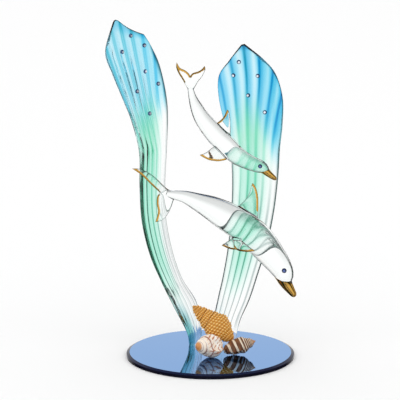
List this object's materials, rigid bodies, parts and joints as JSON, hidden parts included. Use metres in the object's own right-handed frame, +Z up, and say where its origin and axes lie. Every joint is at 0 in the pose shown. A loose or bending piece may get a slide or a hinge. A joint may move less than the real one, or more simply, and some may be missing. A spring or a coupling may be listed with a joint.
{
  "type": "glass dolphin figurine",
  "caption": "Lampworked glass dolphins diving between fluted blue-green glass plumes that stand on a round blue mirror, with sea shells at their feet.",
  "frame": {"origin": "centre of the mirror base's underside", "axes": "+Z up out of the mirror, -Y towards the viewer of the front, +X to that viewer's right"},
  "size_m": [0.1435, 0.129, 0.258],
  "materials": {
    "mirror_base": "blue-tinted mirror glass with a bevelled edge",
    "plume_glass": "polished, sky blue at the top, sea green along the stem and clear at the foot",
    "clear_glass": "polished clear glass with gold-painted beaks and fin edges",
    "eye_crystal": "faceted dark blue crystal with a foil back",
    "crystal": "faceted pale crystal",
    "golden_shell": "beaded golden shell",
    "cream_shell": "smooth cream shell with red-brown flecks",
    "banded_shell": "brown shell with cream bands"
  },
  "bodies": {
    "root": {"mirror_base": "mirror_base", "left_plume": "plume_glass", "right_plume": "plume_glass", "large_dolphin": "clear_glass", "large_dolphin_eye_near": "eye_crystal", "large_dolphin_eye_far": "eye_crystal", "small_dolphin": "clear_glass", "small_dolphin_eye_near": "eye_crystal", "small_dolphin_eye_far": "eye_crystal", "whelk_shell": "golden_shell", "turban_shell": "cream_shell", "banded_shell": "banded_shell", "left_crystal_1": "crystal", "left_crystal_2": "crystal", "left_crystal_3": "crystal", "left_crystal_4": "crystal", "left_crystal_5": "crystal", "left_crystal_6": "crystal", "left_crystal_7": "crystal", "right_crystal_1": "crystal", "right_crystal_2": "crystal", "right_crystal_3": "crystal", "right_crystal_4": "crystal", "right_crystal_5": "crystal"}
  },
  "joints": []
}
